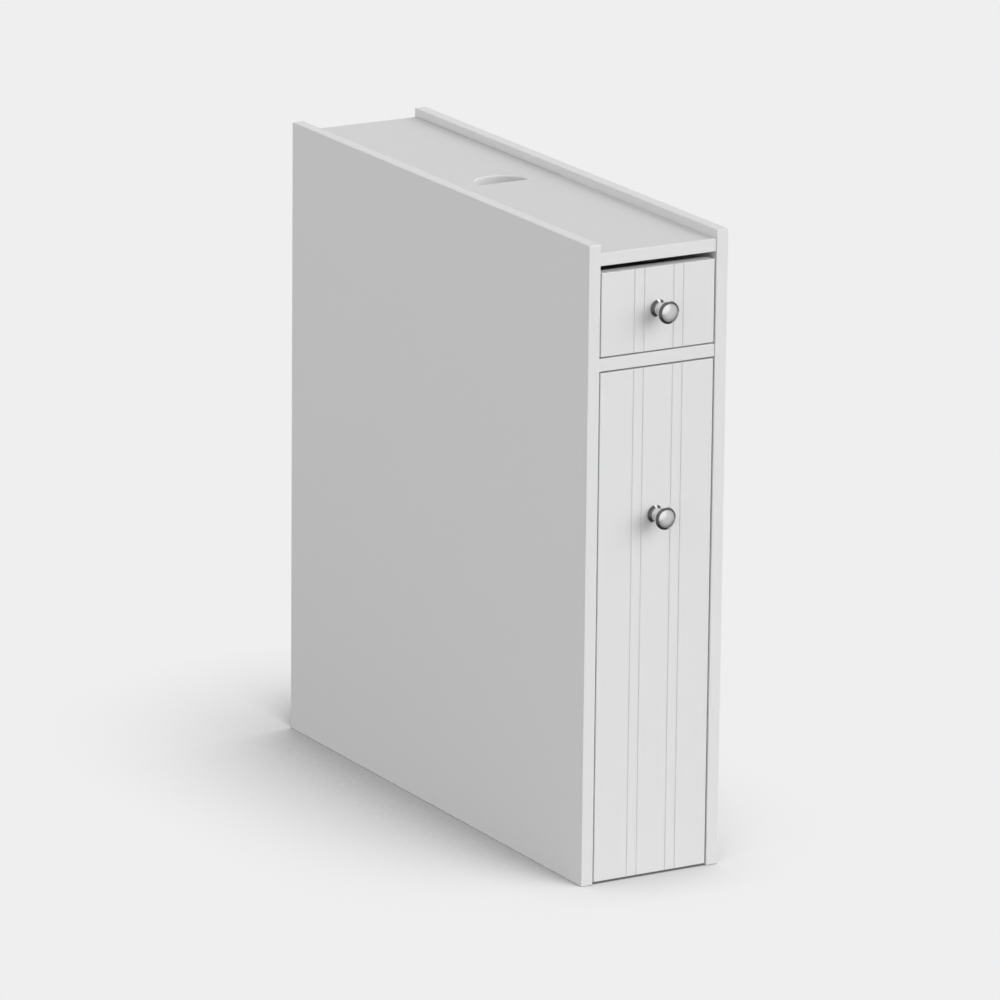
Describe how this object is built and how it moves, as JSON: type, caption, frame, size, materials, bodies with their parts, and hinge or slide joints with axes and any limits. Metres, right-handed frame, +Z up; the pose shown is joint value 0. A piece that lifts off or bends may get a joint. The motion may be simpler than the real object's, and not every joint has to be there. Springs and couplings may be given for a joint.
{
  "type": "narrow bathroom cabinet",
  "caption": "Slim free-standing white bathroom cabinet: small drawer over a tall tiered pull-out, flip lid with a finger notch over a rear compartment, rims along the top.",
  "frame": {"origin": "on the floor, at the middle of the whole outline, knobs included", "axes": "+X to the right seen from the front, +Y from the front to the rear, +Z up"},
  "size_m": [0.145, 0.577, 0.6],
  "materials": {
    "white_paint": "satin white paint on fibreboard",
    "hardboard": "thin board, white matt foil on its faces",
    "rail_wood": "bare planed hardwood",
    "polished_nickel": "polished nickel plate",
    "zinc": "die-cast zinc, dull",
    "steel": "bright zinc-plated steel",
    "nylon": "natural nylon",
    "bumper": "soft translucent grey"
  },
  "bodies": {
    "cabinet": {"left_side_panel": "white_paint", "right_side_panel": "white_paint", "fixed_top_panel": "white_paint", "divider_shelf": "white_paint", "compartment_wall": "white_paint", "bottom_panel": "white_paint", "back_panel": "hardboard", "rear_top_rail": "white_paint", "left_drawer_rail": "rail_wood", "right_drawer_rail": "rail_wood", "left_pull_out_rail": "rail_wood", "right_pull_out_rail": "rail_wood", "left_lid_rest": "white_paint", "right_lid_rest": "white_paint", "lid_rest_pads": "bumper", "lid_pivot_pins": "steel", "lid_washers": "nylon", "drawer_stop": "white_paint", "pull_out_stop": "white_paint", "cabinet_cam_locks": "zinc", "cabinet_cam_bolts": "steel", "cabinet_dowels": "rail_wood", "rail_screws": "steel", "stop_screws": "steel", "back_panel_nails": "steel"},
    "lid": {"flip_lid": "white_paint", "lid_bushes": "nylon"},
    "top_drawer": {"drawer_front": "white_paint", "drawer_left_side": "white_paint", "drawer_right_side": "white_paint", "drawer_back": "white_paint", "drawer_bottom": "hardboard", "drawer_knob": "polished_nickel", "drawer_knob_screw": "steel", "drawer_cam_locks": "zinc", "drawer_cam_bolts": "steel", "drawer_dowels": "rail_wood", "drawer_back_screws": "steel"},
    "pull_out": {"pull_out_front": "white_paint", "pull_out_back": "white_paint", "pull_out_base": "white_paint", "pull_out_middle_shelf": "white_paint", "pull_out_upper_shelf": "white_paint", "left_runner": "rail_wood", "right_runner": "rail_wood", "left_base_guard": "white_paint", "right_base_guard": "white_paint", "left_middle_guard": "white_paint", "right_middle_guard": "white_paint", "left_upper_guard": "white_paint", "right_upper_guard": "white_paint", "pull_out_knob": "polished_nickel", "pull_out_knob_screw": "steel", "pull_out_cam_locks": "zinc", "pull_out_cam_bolts": "steel", "pull_out_back_screws": "steel", "runner_screws": "steel", "guard_brads": "steel"}
  },
  "joints": [
    {"name": "lid_hinge", "type": "hinge", "parent": "cabinet", "child": "lid", "pos_m": [0, 0.27895, 0.586], "axis": [-1, 0, 0], "range_deg": [0, 100]},
    {"name": "top_drawer_slide", "type": "slide", "parent": "cabinet", "child": "top_drawer", "axis": [0, -1, 0], "range_m": [0, 0.14]},
    {"name": "pull_out_slide", "type": "slide", "parent": "cabinet", "child": "pull_out", "axis": [0, -1, 0], "range_m": [0, 0.38]}
  ]
}
